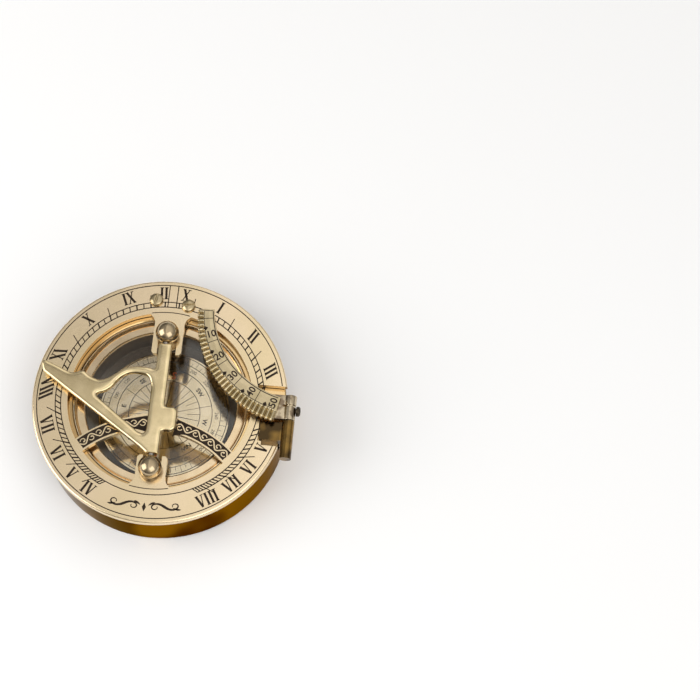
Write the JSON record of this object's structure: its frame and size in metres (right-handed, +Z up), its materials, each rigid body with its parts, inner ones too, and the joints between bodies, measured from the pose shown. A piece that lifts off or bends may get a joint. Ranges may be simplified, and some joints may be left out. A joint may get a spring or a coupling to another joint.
{
  "type": "pocket sundial",
  "caption": "Round brass pocket sundial: a compass case under glass with a hinged hour plate, a folding triangular gnomon and a folding toothed latitude arc.",
  "frame": {"origin": "centre of the case's flat underside, on the table", "axes": "+Z up through the compass pivot, +Y north to the plate hinge, +X east to the latitude arc"},
  "size_m": [0.0803, 0.0762, 0.0265],
  "materials": {
    "case_brass": "polished, deep gold",
    "plate_brass": "satin polished, pale",
    "gnomon_brass": "polished casting",
    "arc_brass": "satin polished",
    "card_brass": "lacquered, printed",
    "steel": "plain",
    "glass": "clear"
  },
  "bodies": {
    "base": {"case_body": "case_brass", "glass_window": "glass", "bezel_ring": "case_brass", "pivot_post": "steel", "rim_hinge_leaf": "case_brass", "rim_hinge_screw_west": "steel", "rim_hinge_screw_east": "steel", "plate_hinge_pin": "steel", "arc_bracket": "case_brass", "bracket_screw_south": "steel", "bracket_screw_north": "steel", "arc_hinge_pin": "steel"},
    "card": {"compass_card": "card_brass", "card_cap": "plate_brass", "magnet_bar_west": "steel", "magnet_bar_east": "steel"},
    "plate": {"chapter_ring": "plate_brass", "plate_hinge_leaf": "plate_brass", "plate_screw_east": "plate_brass", "plate_screw_west": "plate_brass", "north_ball_post": "gnomon_brass", "south_ball_post": "gnomon_brass"},
    "gnomon": {"gnomon_frame": "gnomon_brass", "gnomon_pivot_north": "steel", "gnomon_pivot_south": "steel"},
    "arc": {"latitude_arc": "arc_brass", "arc_knuckle": "arc_brass", "arc_stop_peg": "arc_brass"}
  },
  "joints": [
    {"name": "plate_tilt", "type": "hinge", "parent": "base", "child": "plate", "pos_m": [0, 0.0358, 0.0165], "axis": [-1, 0, 0], "range_deg": [0, 34]},
    {"name": "gnomon_raise", "type": "hinge", "parent": "plate", "child": "gnomon", "pos_m": [0, 0, 0.023], "axis": [0, 1, 0], "range_deg": [0, 90]},
    {"name": "arc_raise", "type": "hinge", "parent": "base", "child": "arc", "pos_m": [0.0389, 0, 0.0219], "axis": [0, 1, 0], "range_deg": [0, 90]},
    {"name": "card_spin", "type": "hinge", "parent": "base", "child": "card", "pos_m": [0, 0, 0.005], "axis": [0, 0, 1], "continuous": true}
  ],
  "couplings": [
    {"joint": "arc_raise", "follows": "plate_tilt", "ratio": 2.6471}
  ]
}
